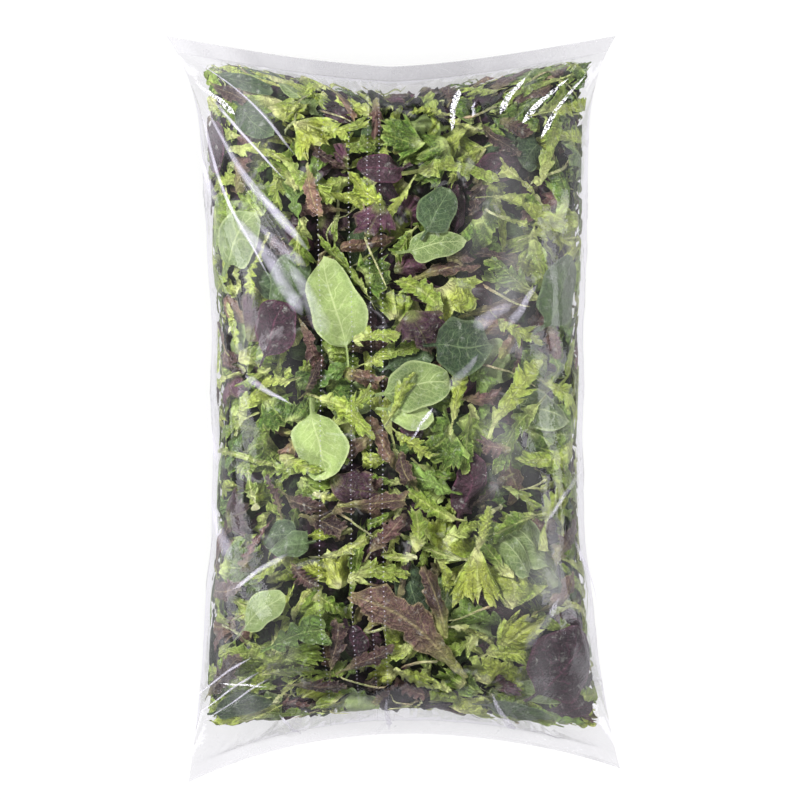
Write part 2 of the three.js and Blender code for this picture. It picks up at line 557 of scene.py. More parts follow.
def strap(u, v, length, width, rng):
    """A romaine leaf: a long blade with a broad rib and a wavy, nibbled edge."""
    v = chopped(v, rng)
    broad = (0.26 + 0.74 * smoothstep(v, 0.05, 0.5)) * (1 - smoothstep(v, 0.78, 1.04) * 0.8)
    first = rng.uniform(0, 6)
    ragged = 1 + 0.20 * np.sin(v * 19 + 2 * np.sign(u) + first) * abs(u)
    ragged = ragged + 0.12 * np.sin(v * 53 + np.sign(u) + first) * abs(u)
    x = u * width / 2 * broad * ragged
    y = v * length + 0.3 * abs(x)
    x, y = bent(x, y, length, rng, 0.6)
    ruffle = rng.uniform(0.8, 2.6) * np.sin(v * 23 + 3 * np.sign(u)) * abs(u) ** 1.5
    rib = -1.4 * np.exp(-(u * 3.5) ** 2) * (1 - 0.6 * v)
    ruffle = ruffle + rib + crumpled(x, y, rng, 1.5, 9) * abs(u)
    x, curl = folded(x, cupped(u, v, width, length, rng, 1.3), rng, 70)
    return x, y - length / 2, curl, ruffle


def lobed(u, v, length, width, rng):
    """A rocket leaf: rounded lobes either side of the rib and a larger one at the tip."""
    lobes = rng.integers(3, 5)
    stalk = 0.22
    body = np.clip((v - stalk) / (1 - stalk), 0, 1)
    beat = body * lobes + 0.12 * np.sign(u)
    bulge = abs(np.sin(np.pi * beat)) ** 0.7
    size = 0.50 + 0.50 * body
    tip = np.sqrt(np.clip(1 - ((body - 0.80) / 0.21) ** 2, 0, 1))
    side_lobes = (0.14 + 0.86 * bulge) * size * (body > 0) * (body < 0.8)
    x = u * (1.0 + width / 2 * np.maximum(side_lobes, 0.95 * tip))
    y = v * length + 0.35 * abs(x) * (body > 0)
    x, y = bent(x, y, length, rng, 0.6)
    ruffle = crumpled(x, y, rng, 1.5, 9) * abs(u)
    x, curl = folded(x, cupped(u, v, width, length, rng, 1.2), rng, 50)
    return x, y - length / 2, curl, ruffle


def broad_blade(u, v, length, width, rng):
    """A large smooth leaf, such as red chard."""
    x, y, curl, ruffle = ovate(u, v, length, width, rng, stalk=0.2, stalk_width=3.6)
    return x, y, curl, ruffle + 1.2 * np.sin(v * 9 + 3 * u) * abs(u)


def stem(u, v, length, width, rng):
    """A cut stem: a thin round stalk, thicker at its base."""
    radius = width / 2 * (1 - 0.45 * v) * np.sqrt(np.clip(np.minimum(v, 1 - v) * 30, 0, 1))
    x, y = bent(radius * np.sin(np.pi * u), v * length, length, rng, 0.9)
    curl = rng.uniform(-0.06, 0.06) * length * (2 * v - 1)
    return x, y - length / 2, curl, radius * (1 - np.cos(np.pi * u))


# ---------------------------------------------------------------- laying the leaves

class Kind:
    """One kind of leaf, and where each leaf of it lies."""

    def __init__(self, name, outline, columns, rows, length, width, seed):
        self.name = name
        self.outline = outline
        self.columns = columns
        self.rows = rows
        self.length = length
        self.width = width
        self.rng = np.random.default_rng(seed)
        u = np.linspace(-1, 1, columns + 1)
        v = np.linspace(0, 1, rows + 1)
        self.u, self.v = np.meshgrid(u, v)
        self.points = []
        self.tones = []

    def lay(self, s, t, angle, size=None, tone=None, layer=0.0, flatness=1.0):
        """Adds a leaf with its middle at (s, t), turned by an angle in degrees, clockwise from up."""
        rng = self.rng
        if size is None:
            length = rng.uniform(*self.length)
            width = rng.uniform(*self.width)
        else:
            length, width = size
        x, y, curl, ruffle = self.outline(self.u, self.v, length, width, rng)
        turn = math.radians(angle)
        s = s + x * math.cos(turn) + y * math.sin(turn)
        t = crowded(s, t - x * math.sin(turn) + y * math.cos(turn))
        curl = (curl - curl.min()) * flatness
        ruffle = (ruffle - ruffle.min()) * (0.4 + 0.6 * flatness)
        depth = heap.press(s, t, curl, ruffle, layer)
        if depth is None:
            return
        self.points.append(tube.place(s, t, depth).reshape(-1, 3))
        if tone is None:
            tone = rng.uniform(0, 1)
        self.tones.append(np.full(x.size, tone))

    def mesh(self):
        sheet = flat_sheet(self.columns, self.rows)
        return scattered(sheet, self.name, self.points, "tone", self.tones)


# Each kind of leaf: its piece's name, its outline, the columns and rows of its sheet, how long and
# how wide its leaves are at least and at most, in millimetres, and its seed.
KINDS = {
    "spinach": Kind("spinach_leaves", ovate, 12, 20, (36, 54), (24, 38), 11),
    "dark": Kind("dark_spinach_leaves", ovate, 12, 20, (28, 48), (18, 32), 12),
    "mizuna": Kind("mizuna_leaves", toothed, 8, 48, (44, 84), (20, 38), 13),
    "frisee": Kind("frisee_leaves", toothed, 4, 48, (34, 72), (8, 18), 20),
    "curly": Kind("curly_lettuce_strips", curly, 8, 48, (32, 64), (14, 28), 22),
    "lime": Kind("frilly_lime_leaves", frilly, 40, 10, (20, 38), (22, 42), 14),
    "green": Kind("frilly_green_leaves", frilly, 40, 10, (20, 36), (20, 40), 15),
    "romaine": Kind("red_romaine_leaves", strap, 8, 30, (32, 74), (10, 22), 16),
    "oak": Kind("ragged_red_leaves", curly, 6, 40, (28, 64), (12, 26), 23),
    "purple": Kind("frilly_purple_leaves", frilly, 32, 9, (14, 27), (15, 30), 17),
    "rocket": Kind("rocket_leaves", lobed, 6, 34, (32, 60), (12, 26), 18),
    "chard": Kind("red_chard_leaves", broad_blade, 12, 18, (28, 48), (16, 30), 19),
    "stem": Kind("leaf_stems", stem, 6, 12, (28, 70), (1.8, 3.4), 21),
}

# Leaves that show best from the front: kind, x and y of the middle and the direction of the tip, in
# degrees clockwise from up, then length and width and tone.
FRONT_LEAVES = [
    ("mizuna", -22, 54, 60, (44, 26), 0.55),
    ("curly", -80, -44, 140, (40, 20), 0.60),
    ("mizuna", 2, 8, 20, (46, 24), 0.70),
    ("spinach", -45, 80, -14, (64, 47), 0.80),
    ("spinach", -57, -30, 172, (47, 43), 0.95),
    ("dark", 36, 148, 35, (34, 33), 0.30),
    ("spinach", 34, 122, 82, (42, 24), 0.40),
    ("dark", 54, 46, 95, (42, 44), 0.15),
    ("lime", 60, 52, 90, (20, 14), 0.90),
    ("spinach", -98, -146, 60, (40, 26), 0.50),
    ("rocket", -78, -168, 75, (52, 26), 0.35),
    ("curly", 68, -92, 15, (44, 26), 1.00),
    ("lime", 70, -120, 165, (38, 32), 1.00),
    ("romaine", 22, -158, -42, (108, 30), 0.45),
    ("romaine", 34, -150, -20, (76, 22), 0.20),
    ("chard", 134, -192, 35, (64, 58), 0.10),
    ("dark", 98, -227, 95, (54, 24), 0.45),
    ("mizuna", 104, 158, 95, (84, 38), 0.90),
    ("mizuna", 42, 184, 80, (78, 32), 0.55),
    ("mizuna", 118, 138, 70, (56, 30), 0.80),
    ("curly", 46, 14, 5, (66, 22), 0.85),
    ("mizuna", 88, 12, 25, (70, 40), 0.75),
    ("mizuna", 94, 56, 130, (52, 34), 0.85),
    ("purple", 20, 60, 160, (28, 32), 0.25),
    ("romaine", -62, 164, 168, (40, 12), 1.00),
    ("purple", -14, 142, 200, (24, 26), 0.70),
    ("curly", -40, 6, 100, (58, 24), 0.60),
    ("mizuna", -34, -6, 60, (54, 34), 0.45),
    ("curly", 30, 86, -30, (48, 26), 0.50),
    ("romaine", -10, -66, 84, (64, 17), 0.35),
    ("purple", -36, -56, 120, (34, 30), 0.30),
    ("mizuna", -20, -118, 70, (60, 28), 0.60),
    ("curly", 84, -176, 60, (46, 26), 0.80),
    ("lime", 96, -170, 30, (34, 36), 0.75),
    ("chard", -90, 62, 20, (40, 36), 0.35),
    ("mizuna", -70, 176, 110, (60, 28), 0.50),
    ("mizuna", -38, 204, 95, (66, 30), 0.65),
    ("lime", -66, 206, 120, (30, 34), 0.85),
    ("mizuna", 12, -30, 140, (50, 30), 0.70),
    ("curly", 24, -92, 20, (52, 26), 0.40),
    ("dark", 130, 90, 30, (50, 40), 0.60),
    ("oak", -30, -72, 70, (54, 24), 0.35),
    ("oak", -52, -86, 120, (44, 22), 0.15),
    ("oak", -8, -92, 30, (46, 22), 0.50),
    ("oak", -46, -176, 15, (60, 26), 0.25),
    ("oak", -22, -190, 75, (52, 24), 0.40),
    ("oak", -60, -206, 100, (50, 22), 0.10),
    ("purple", -104, 60, 60, (28, 30), 0.30),
    ("oak", -62, 190, 140, (44, 20), 0.30),
    ("oak", 78, 200, 160, (44, 22), 0.20),
    ("oak", 92, 216, 110, (40, 22), 0.45),
    ("oak", 72, 168, 190, (50, 24), 0.20),
    ("oak", 126, -100, 20, (60, 26), 0.30),
    ("oak", -132, 240, 112, (46, 22), 0.15),
    ("dark", -112, 246, 100, (44, 24), 0.10),
    ("dark", -108, 214, 125, (40, 26), 0.20),
    ("chard", -138, 196, 160, (40, 26), 0.30),
    ("oak", -134, -204, 60, (56, 26), 0.10),
    ("dark", -116, -222, 95, (48, 26), 0.05),
    ("spinach", -120, 130, 30, (44, 34), 0.35),
    ("spinach", 20, 18, 75, (50, 37), 0.40),
    ("spinach", 14, -3, 100, (36, 26), 1.00),
]
MIX = {  # how many of every hundred leaves
    "spinach": 4, "dark": 6, "mizuna": 16, "frisee": 12, "curly": 14, "lime": 8, "green": 9,
    "romaine": 7, "oak": 8, "purple": 6, "rocket": 4, "chard": 3, "stem": 5,
}
SMOOTH_KINDS = ("spinach", "dark", "chard", "purple", "romaine")  # mostly under the others
LEAF_COUNT = 3600  # tries; where the heap is full, a leaf is left out
PLACES_TRIED = 12  # for each leaf
LAYER_DEPTH = 1.6  # millimetres that a leaf lies below the ones over it, on average


def lay_front_leaves():
    for name, x, y, angle, size, tone in FRONT_LEAVES:
        s, t = tube.find(x, y)
        KINDS[name].lay(s, t, angle, size, tone, flatness=0.5)


def emptiest_place(rng):
    """Of a few random places in the heap, the one that is filled least."""
    s = rng.uniform(-0.5, 0.5, PLACES_TRIED) * tube.girth
    low, high = heap_limits(s)
    t = rng.uniform(low, high)
    best = np.argmin(tube.read(heap.depth, s, t) - tube.read(clearance, s, t))
    return s[best], t[best]


def lay_heap():
    """The rest of the heap, kinds shuffled, from the film inwards."""
    rng = np.random.default_rng(7)
    names = list(MIX)
    smooth = np.array([name in SMOOTH_KINDS for name in names])
    for number in range(LEAF_COUNT):
        later = 0.35 + 1.3 * smoothstep(number / LEAF_COUNT, 0.05, 0.5)
        others = 1 - smoothstep(number / LEAF_COUNT, 0.72, 0.82)
        weights = np.array(list(MIX.values())) * np.where(smooth, later, others)
        name = names[rng.choice(len(names), p=weights / weights.sum())]
        s, t = emptiest_place(rng)
        angle = rng.choice([90, 270]) + rng.normal(0, 55)
        KINDS[name].lay(s, t, angle, layer=rng.exponential(LAYER_DEPTH))


# ---------------------------------------------------------------- the dark middle of the heap

CORE_LUMPS = 1.2  # millimetres


def core_half(half, columns, rows):
    """Places of the front (half 0) or the back (half 1) of the heap's middle."""
    u, v = np.meshgrid(np.linspace(-1, 1, columns + 1), np.linspace(0, 1, rows + 1))
    s = (u + 2 * half) * tube.girth / 4
    low, high = heap_limits(s)
    t = lerp(low + 4, high - 4, v)
    depth = tube.read(heap.depth, s, t) + 1.5
    for _ in range(3):
        depth = softened(depth)
    depth = np.minimum(depth, tube.read(heap.limit, s, t) + 1)
    at_side = smoothstep(abs(u), 0.70, 0.92)
    depth = lerp(depth, np.minimum(depth, CORE_SIDE_DEPTH + tube.read(clearance, s, t)), at_side)
    lumps = np.sin(s / 4.1 + np.sin(t / 7) * 2) * np.sin(t / 3.7 + np.sin(s / 9) * 2)
    return tube.place(s, t, depth + CORE_LUMPS * lumps)


def heap_core(columns=76, rows=120):
    """The crush of leaves in the middle, painted dark as shade, seen only between the outer ones."""
    front = core_half(0, columns, rows)
    back = core_half(1, columns, rows)[:, ::-1]
    border = np.ones(front.shape[:2], bool)
    border[1:-1, 1:-1] = False
    front[border] = (front[border] + back[border]) / 2
    back[border] = front[border]
    bm = bmesh.new()
    for points in (front, back[:, ::-1]):
        sheet = flat_sheet(columns, rows)
        shaped(sheet, points.reshape(-1, 3))
        bm.from_mesh(sheet)
        bpy.data.meshes.remove(sheet)
    bmesh.ops.remove_doubles(bm, verts=bm.verts, dist=0.01 * MM)
    return mesh_from(bm, "heap_core")


# ---------------------------------------------------------------- the film

# Creases of the front sheet: from x and y to x and y, width and height in millimetres. A crease's
# gentle slope lies to its left, seen from its start, or to its right where the width is negative.
CREASES = [
    (-163, 252, -47, 80, 9, 3.2),
    (-150, 240, -88, 150, -7, 2.4),
    (-130, 246, -66, 190, 5, 1.8),
    (-102, 160, -50, 78, -11, 3.0),
    (-110, 24, -72, 2, 7, 1.6),
    (-150, 222, -120, 120, 8, 2.4),
    (-152, 180, -112, 60, -8, 2.0),
    (114, 240, 82, 206, 4, 1.6),
    (142, 250, 108, 198, -5, 2.0),
    (128, 244, 98, 214, 3, 1.4),
    (44, 240, 42, 205, 3, 1.2),
    (60, 244, 66, 212, 3, 1.2),
    (-148, -230, -96, -190, 4, 1.8),
    (-146, -218, -100, -182, -4, 1.6),
    (-138, -236, -86, -202, 4, 1.6),
    (-118, -132, -76, -105, 8, 1.6),
    (88, -242, 72, -208, 7, 2.2),
    (-80, -244, -66, -214, 6, 2.0),
    (-6, -236, -4, -205, 5, 1.6),
    (150, -200, 128, -130, 6, 1.6),
    (142, -60, 128, 40, -6, 1.2),
    (146, 60, 132, 150, 6, 1.4),
    (-146, -40, -130, 60, 6, 1.2),
    (-144, -150, -126, -60, -6, 1.4),
]
FILM_COLUMNS = 236
FILM_ROWS = 400


def crease(s, t, start, end, width, height):
    """A pleat: the film rises gently to a ridge and drops sharply behind it."""
    run = np.array(end) - np.array(start)
    length = np.hypot(*run)
    run = run / length
    along = (s - start[0]) * run[0] + (t - start[1]) * run[1]
    off = (s - start[0]) * run[1] - (t - start[1]) * run[0]
    off = (off + 1.5 * np.sin(along / 17)) * np.sign(width)
    gentle = np.clip(1 + off / abs(width), 0, 1) * (off <= 0)
    sharp = np.clip(1 - off / (0.3 * abs(width)), 0, 1) * (off > 0)
    rise = gentle + sharp
    fade = smoothstep(along, -4, 0.25 * length) * (1 - smoothstep(along, 0.6 * length, length + 4))
    return 0.7 * height * rise * fade


# Places where the front sheet is crumpled: x, y, how far it reaches and how high, in millimetres.
CRUMPLED_PATCHES = [
    (92, 228, 34, 1.5),
    (134, 236, 26, 1.5),
    (46, 226, 20, 1.2),
    (-126, 232, 26, 1.3),
    (-122, -210, 30, 1.3),
    (20, -8, 16, 0.8),
    (110, -160, 22, 1.0),
    (96, -236, 24, 1.3),
    (-30, -246, 30, 1.2),
]

# Folds where the film doubles over on itself and shows as a pale strip, partly painted reflection:
# from x and y to x and y, the width at the start and at the end, in millimetres, and how opaque and
# how sparkling it is; the sparkle is painted glints.
DOUBLED_FOLDS = [
    (-151, 264, -70, 186, 1.2, 3.0, 0.42, 0),
    (-138, 236, -76, 167, 4.0, 1.2, 0.48, 0),
    (-143, 230, -60, 115, 1.5, 9.0, 0.42, 0),
    (-144, 227, -87, 92, 4.5, 2.0, 0.40, 0),
    (-116, 144, -72, 88, 6.0, 14.0, 0.24, 0),
    (-102, 138, -62, 104, 5.0, 9.0, 0.20, 0),
    (-94, 114, -66, 68, 8.0, 13.0, 0.24, 0),
    (-74, 108, -46, 54, 7.0, 17.0, 0.20, 0),
    (-146, 246, -116, 220, 2.0, 6.0, 0.36, 1),
    (-146, 204, -126, 150, 3.0, 10.0, 0.30, 0),
    (-107, 24, -72, 3, 7.0, 1.0, 0.45, 0),
    (-145, -229, -97, -193, 1.2, 2.4, 0.50, 0.3),
    (-140, -236, -90, -200, 1.2, 2.0, 0.50, 0.3),
    (-146, -218, -104, -184, 1.0, 2.2, 0.45, 0.3),
    (-118, -134, -76, -105, 3.0, 5.0, 0.35, 0),
    (97, 247, 77, 219, 3.0, 6.0, 0.50, 1),
    (129, 248, 94, 213, 2.5, 5.5, 0.50, 1),
    (143, 250, 107, 201, 2.0, 4.0, 0.50, 1),
    (47, 237, 43, 206, 6.0, 3.0, 0.50, 1),
    (59, 228, 57, 216, 1.5, 3.0, 0.30, 1),
    (-126, -204, -92, -206, 1.5, 1.5, 0.60, 1),
    (71, -209, 88, -241, 2.0, 9.0, 0.40, 0.4),
    (28, 0, 12, -24, 3.0, 1.0, 0.30, 1),
    (150, -150, 132, -96, 3.0, 6.0, 0.30, 0.2),
    (110, -84, 134, -46, 2.0, 5.0, 0.25, 0),
    (-6, -212, -3, -238, 1.5, 5.0, 0.35, 0.3),
    (86, 78, 58, 60, 6.0, 13.0, 0.22, 0.1),
    (104, 92, 84, 62, 3.0, 8.0, 0.26, 0.3),
    (62, 40, 40, 14, 3.0, 9.0, 0.16, 0.1),
    (-132, -64, -118, -112, 6.0, 12.0, 0.22, 0),
    (-138, 22, -126, -40, 5.0, 11.0, 0.22, 0),
    (120, -140, 96, -176, 3.0, 10.0, 0.18, 0.1),
    (-82, -226, -66, -244, 1.5, 5.0, 0.35, 0.3),
]
PERFORATED_ROWS = (-57, -34, -20, -11)  # s of each lengthwise row of tiny vents, in millimetres
VENT_SPACING = 3.6
VENT_RADIUS = 0.42
VENT_MILK = 0.42  # how opaque a vent is
VENT_LIFT = 0.7  # millimetres above the front sheet
FOLD_LIFT = 2.0  # of the first pale strip above the front sheet
FOLD_STEP = 0.06  # of each further strip above the one before
CREASE_MILK = 0.11  # how much paler the film looks where it is creased
FINE_RELIEF = 0.22  # of the small waves all over the film, and of the ribs across the welds
RIB_SPACING = 2.9


def weld_puckers(s, t, rng, count=46):
    """Short pleats that run from both welds into the bag."""
    total = np.zeros_like(s)
    for number in range(count):
        end = 1 if number % 2 else -1
        weld = tube.top if end > 0 else -tube.bottom
        middle = rng.uniform(-0.92, 0.92) * tube.girth / 4
        start = (middle, end * (weld - WELD_WIDTH))
        length = rng.uniform(14, 46)
        finish = (middle * (1 - rng.uniform(0, 0.25)) + rng.uniform(-8, 8), start[1] - end * length)
        width = rng.uniform(3, 8) * rng.choice([-1, 1])
        total = total + crease(s, t, start, finish, width, rng.uniform(0.6, 1.8))
    return total


def side_crumples(s, t, rng, count=60):
    """Shallow slanting folds where the film turns down at both sides."""
    total = np.zeros_like(s)
    for _ in range(count):
        side = rng.choice([-1, 1])
        middle = side * rng.uniform(0.62, 1.0) * tube.girth / 4
        height = rng.uniform(0.92 * tube.bottom, 0.92 * tube.top)
        length = rng.uniform(14, 50)
        slant = rng.uniform(-14, 14)
        width = rng.uniform(3, 8) * rng.choice([-1, 1])
        finish = (middle + slant, height + length)
        total = total + crease(s, t, (middle, height), finish, width, rng.uniform(0.4, 1.3))
    return total


def milk_and_painted_reflection(s, t, half):
    """How much the film scatters light, with painted reflection at the front's sides: least where it
    lies tight on the leaves.
    """
    patches = np.sin(s / 13 + 2 * np.sin(t / 41)) * np.sin(t / 29 + 1.5 * np.sin(s / 19))
    patches = 0.5 + 0.5 * patches
    # Painted reflection: the front's right and left are made milkier where the side lights show in the
    # film
    right = smoothstep(s, 34, 90) * (0.25 + 1.6 * patches ** 2)
    right = right * (1 - 0.8 * smoothstep(t, 130, 200))
    left = smoothstep(-s, 56, 120) * (0.2 + 1.5 * patches ** 2)
    from_end = tube.top - abs(t)
    slack = 1 - smoothstep(from_end, 16, 52)
    weld = 1 - smoothstep(from_end, WELD_WIDTH - 1, WELD_WIDTH + 1)
    weld = weld * (0.12 + 0.34 * (t > 0) * np.cos(2 * np.pi * s / tube.girth))
    # Painted reflection on the front's right and left; a little milk on the back
    sides = (0.11 * right + 0.08 * left) if half == 0 else 0.02
    return 0.001 + 0.008 * patches ** 2 + sides + 0.06 * slack * (0.5 + patches) + weld


def crumples(s, t, x, y, reach, height):
    """Small sharp wrinkles, strongest in the middle of a patch."""
    s0, t0 = tube.find(x, y)
    off = np.hypot(s - s0, (t - t0) * 0.8)
    ridges = 1 - abs(np.sin(s / 2.6 + 1.8 * np.sin(t / 9.0 + s0)))
    ridges = ridges * (0.6 + 0.4 * np.sin(t / 5.1 + s / 7))
    return height * ridges ** 2 * (1 - smoothstep(off, 0.3 * reach, reach))


def doubled_folds(columns=5, rows=60):
    """Pale strips, one tapering ribbon each, just above the front sheet: doubled film and painted
    reflection.
    """
    rng = np.random.default_rng(41)
    places = []
    milk_and_painted_shine = []
    u, v = np.meshgrid(np.linspace(-0.5, 0.5, columns + 1), np.linspace(0, 1, rows + 1))
    from_end = np.minimum(v + 0.02, 1.02 - v)
    for number, strip in enumerate(DOUBLED_FOLDS):
        x0, y0, x1, y1, first_width, last_width, opacity, sparkle = strip
        s0, t0 = tube.find(x0, y0)
        s1, t1 = tube.find(x1, y1)
        length = math.hypot(s1 - s0, t1 - t0)
        phase = rng.uniform(0, 6)
        taper = np.minimum(1, 6 * from_end)
        off = u * lerp(first_width, last_width, v) * taper + 0.5 * np.sin(v * 9 + phase)
        s = lerp(s0, s1, v) + off * (t1 - t0) / length
        t = lerp(t0, t1, v) - off * (s1 - s0) / length
        lift = np.full_like(s, -FOLD_LIFT - FOLD_STEP * number)
        places.append(tube.place(s, t, lift).reshape(-1, 3))
        # Painted glints: random corners turned white where a strip sparkles, in place of light caught
        # by crinkled film
        glints = smoothstep(rng.uniform(0, 1, s.shape), 0.40, 0.65) * 2.0
        streaks = 0.8 + 0.2 * np.sin(v * 5 + phase) + 0.15 * np.sin(v * 31 + 9 * u)
        soft = lerp((1 - 3.4 * u * u) * np.minimum(1, 5 * from_end), 1, sparkle)
        shade = opacity * soft * lerp(streaks, glints, sparkle)
        milk_and_painted_shine.append(np.minimum(0.95, shade).ravel())
    return scattered(flat_sheet(columns, rows), "film_folds", places, "milk_and_painted_shine", milk_and_painted_shine)


def vents():
    """Rows of tiny vents along the front sheet, each a raised white dot."""
    bm = bmesh.new()
    bmesh.ops.create_circle(bm, cap_ends=True, segments=6, radius=VENT_RADIUS)
    disc = mesh_from(bm, "vent")
    rim = np.array([corner.co for corner in disc.vertices], np.float32)
    places = []
    count = int((tube.top - tube.bottom - 2 * WELD_WIDTH) / VENT_SPACING)
    for row in PERFORATED_ROWS:
        for number in range(count):
            t = tube.bottom + WELD_WIDTH + (number + 0.5) * VENT_SPACING
            s = row + 0.5 * math.sin(t / 40)
            lift = np.full(len(rim), -VENT_LIFT)
            places.append(tube.place(s + rim[:, 0], t + rim[:, 1], lift))
    milk_and_painted_shine = [np.full(len(rim), VENT_MILK)] * len(places)
    return scattered(disc, "film_vents", places, "milk_and_painted_shine", milk_and_painted_shine)


def film_sheet(name, half):
    """The front sheet (half 0) or the back one (half 1), from fold to fold and weld to weld."""
    rng = np.random.default_rng(31 + half)
    s_line = np.linspace(-1, 1, FILM_COLUMNS + 1) * tube.girth / 4
    t_line = np.linspace(tube.bottom, tube.top, FILM_ROWS + 1)
    s, t = np.meshgrid(s_line, t_line)
    if half == 0:
        points = tube.exact(s_line, t_line)
    else:
        right = tube.exact(s_line[s_line < 0] + tube.girth / 2, t_line)
        left = tube.exact(s_line[s_line >= 0] - tube.girth / 2, t_line)
        points = np.concatenate([right, left], axis=1)
    points = points + tube.offset
    normals = outward_normals(points)
    relief = weld_puckers(s, t, rng) + side_crumples(s, t, rng)
    if half == 0:
        for x0, y0, x1, y1, width, height in CREASES:
            relief = relief + crease(s, t, tube.find(x0, y0), tube.find(x1, y1), width, height)
        for patch in CRUMPLED_PATCHES:
            relief = relief + crumples(s, t, *patch)
    fine = np.sin(s / 5.3 + 3 * np.sin(t / 21)) * np.sin(t / 6.1 + 2 * np.sin(s / 17))
    relief = relief + FINE_RELIEF * fine
    from_end = tube.top - abs(t)
    inside = smoothstep(from_end, WELD_WIDTH, WELD_WIDTH + 8)
    fold = smoothstep(1 - abs(s) / (tube.girth / 4), 0, 0.05)
    relief = relief * inside * fold
    in_weld = 1 - smoothstep(from_end, WELD_WIDTH - 2, WELD_WIDTH)
    ribs = FINE_RELIEF * np.cos(2 * np.pi * t / RIB_SPACING) * in_weld
    points = points + normals * (relief + ribs)[..., None]
    points[..., 2] = np.maximum(points[..., 2], 0)
    slope = np.hypot(*np.gradient(relief, t_line[1] - t_line[0], s_line[1] - s_line[0]))
    milk_and_painted_shine = milk_and_painted_reflection(s, t, half) + CREASE_MILK * smoothstep(slope, 0.2, 0.9)
    sheet = shaped(flat_sheet(FILM_COLUMNS, FILM_ROWS), points)
    sheet.name = name
    return marked(sheet, "milk_and_painted_shine", milk_and_painted_shine)


# ---------------------------------------------------------------- materials

def srgb(red, green, blue, alpha=1.0):
    """A colour as it is seen, given from 0 to 255, in linear light."""
    def channel(value):
        value = value / 255
        return value / 12.92 if value <= 0.04045 else ((value + 0.055) / 1.055) ** 2.4
    return (channel(red), channel(green), channel(blue), alpha)


class Nodes:
    """Short cuts for building a node tree."""

    def __init__(self, tree):
        self.tree = tree

    def feed(self, socket, value):
        """Links a socket to another, or sets it to a plain value."""
        if isinstance(value, bpy.types.NodeSocket):
            self.tree.links.new(value, socket)
        else:
            socket.default_value = value

    def add(self, kind, inputs=(), **settings):
        """A new node with its settings made and its inputs fed, each by its name or number."""
        node = self.tree.nodes.new("ShaderNode" + kind)
        for name, value in settings.items():
            setattr(node, name, value)
        for label, value in dict(inputs).items():
            self.feed(node.inputs[label], value)
        return node

    def place(self):
        return self.add("TexCoord").outputs["Object"]

    def math(self, operation, *values):
        return self.add("Math", enumerate(values), operation=operation).outputs[0]

    def blend(self, share, first, second, mode="MIX"):
        inputs = {0: share, 6: first, 7: second}
        return self.add("Mix", inputs, data_type="RGBA", blend_type=mode).outputs[2]

    def noise(self, vector, scale, detail=3.0, roughness=0.55, distortion=0.0):
        inputs = {"Vector": vector, "Scale": scale, "Detail": detail, "Roughness": roughness,
                  "Distortion": distortion}
        return self.add("TexNoise", inputs).outputs["Fac"]

    def ramp(self, value, low, high):
        """value moved from the range low to high into 0 to 1."""
        inputs = {"Value": value, "From Min": low, "From Max": high}
        return self.add("MapRange", inputs, interpolation_type="SMOOTHSTEP").outputs["Result"]

    def bump(self, height, strength, distance):
        inputs = {"Height": height, "Strength": strength, "Distance": distance}
        return self.add("Bump", inputs).outputs["Normal"]

    def mixed(self, share, first, second):
        """Two shaders, mixed."""
        return self.add("MixShader", {0: share, 1: first, 2: second}).outputs[0]

    def finish(self, shader):
        self.add("OutputMaterial", {"Surface": shader})


def new_material(name):
    """An empty material, and the nodes to fill it with."""
    material = bpy.data.materials.new(name)
    material.use_nodes = True
    material.node_tree.nodes.clear()
    return material, Nodes(material.node_tree)


def new_group(name, inputs, outputs):
    """An empty shader node group: its nodes, its named numbers in and its named sockets out."""
    group = bpy.data.node_groups.new(name, "ShaderNodeTree")
    for label, default in inputs.items():
        socket = group.interface.new_socket(
            name=label, in_out="INPUT", socket_type="NodeSocketFloat")
        socket.default_value = default
    for label in outputs:
        group.interface.new_socket(name=label, in_out="OUTPUT", socket_type="NodeSocketFloat")
    entry = group.nodes.new("NodeGroupInput")
    leave = group.nodes.new("NodeGroupOutput")
    return group, Nodes(group), entry.outputs, leave.inputs


def vein_group():
    """Veins of a leaf from its own UV map: a midrib, and side veins that slant towards the tip."""
    group, nodes, given, put_out = new_group(
        "leaf_veins", {"Side Veins": 9.0, "Slant": 1.6, "Rib Width": 0.07},
        ("Veins", "Edge", "Rim", "Along"))
    uv = nodes.add("UVMap", uv_map="sheet").outputs[0]
    parts = nodes.add("SeparateXYZ", {0: uv}).outputs
    place = nodes.place()
    across = nodes.math("ADD", nodes.math("MULTIPLY", parts["X"], 2), -1)
    off = nodes.math("ABSOLUTE", across)
    rib = nodes.ramp(off, given["Rib Width"], 0.0)
    slanted = nodes.math("MULTIPLY", off, given["Slant"])
    beat = nodes.math("MULTIPLY", parts["Y"], given["Side Veins"])
    beat = nodes.math("SUBTRACT", beat, slanted)
    wander = nodes.math("SUBTRACT", nodes.noise(place, 90, 2), 0.5)
    beat = nodes.math("ADD", beat, nodes.math("MULTIPLY", wander, 1.4))
    wave = nodes.math("ABSOLUTE", nodes.math("SUBTRACT", nodes.math("FRACT", beat), 0.5))
    side = nodes.math("MULTIPLY", nodes.ramp(wave, 0.40, 0.5), nodes.ramp(off, 1.0, 0.2))
    inputs = {"Scale": 330, "Vector": place}
    net = nodes.add("TexVoronoi", inputs, feature="DISTANCE_TO_EDGE").outputs["Distance"]
    net = nodes.math("MULTIPLY", nodes.ramp(net, 0.12, 0.0), 0.35)
    veins = nodes.math("MAXIMUM", rib, nodes.math("MULTIPLY", side, 0.8))
    tip = nodes.ramp(parts["Y"], 0.90, 0.98)
    nodes.feed(put_out["Veins"], nodes.math("MAXIMUM", veins, net))
    nodes.feed(put_out["Edge"], nodes.ramp(off, 0.55, 1.0))
    nodes.feed(put_out["Rim"], nodes.math("MAXIMUM", nodes.ramp(off, 0.84, 0.97), tip))
    nodes.feed(put_out["Along"], parts["Y"])
    return group


